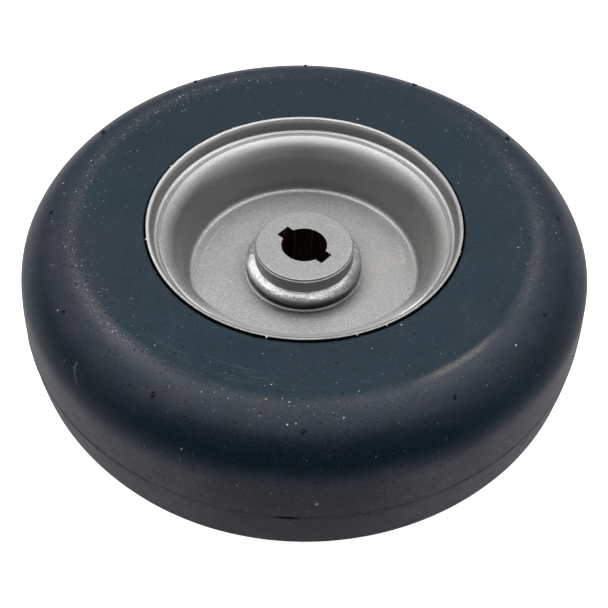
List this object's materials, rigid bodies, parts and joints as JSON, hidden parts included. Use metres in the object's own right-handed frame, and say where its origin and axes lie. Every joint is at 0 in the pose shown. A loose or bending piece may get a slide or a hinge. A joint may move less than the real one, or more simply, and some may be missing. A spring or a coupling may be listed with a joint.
{
  "type": "solid-tyred wheel",
  "caption": "Solid rubber tyre on a dished pressed-steel rim made in two halves, with a welded-in steel hub and a keyed bore right through.",
  "frame": {"origin": "centre of the wheel, on the axis in the middle plane between the two rim lips", "axes": "+Z along the wheel's axis, out of the upper dish; the wheel lies flat, and one keyway points 139 degrees round from +X"},
  "size_m": [0.2361, 0.2362, 0.0734],
  "materials": {
    "tyre": "smooth moulded rubber, dusty",
    "paint": "fine metallic silver paint, satin"
  },
  "bodies": {
    "root": {"tyre": "tyre", "rim_half_upper": "paint", "rim_half_lower": "paint", "hub": "paint", "weld_bead_upper": "paint", "weld_bead_lower": "paint"}
  },
  "joints": []
}
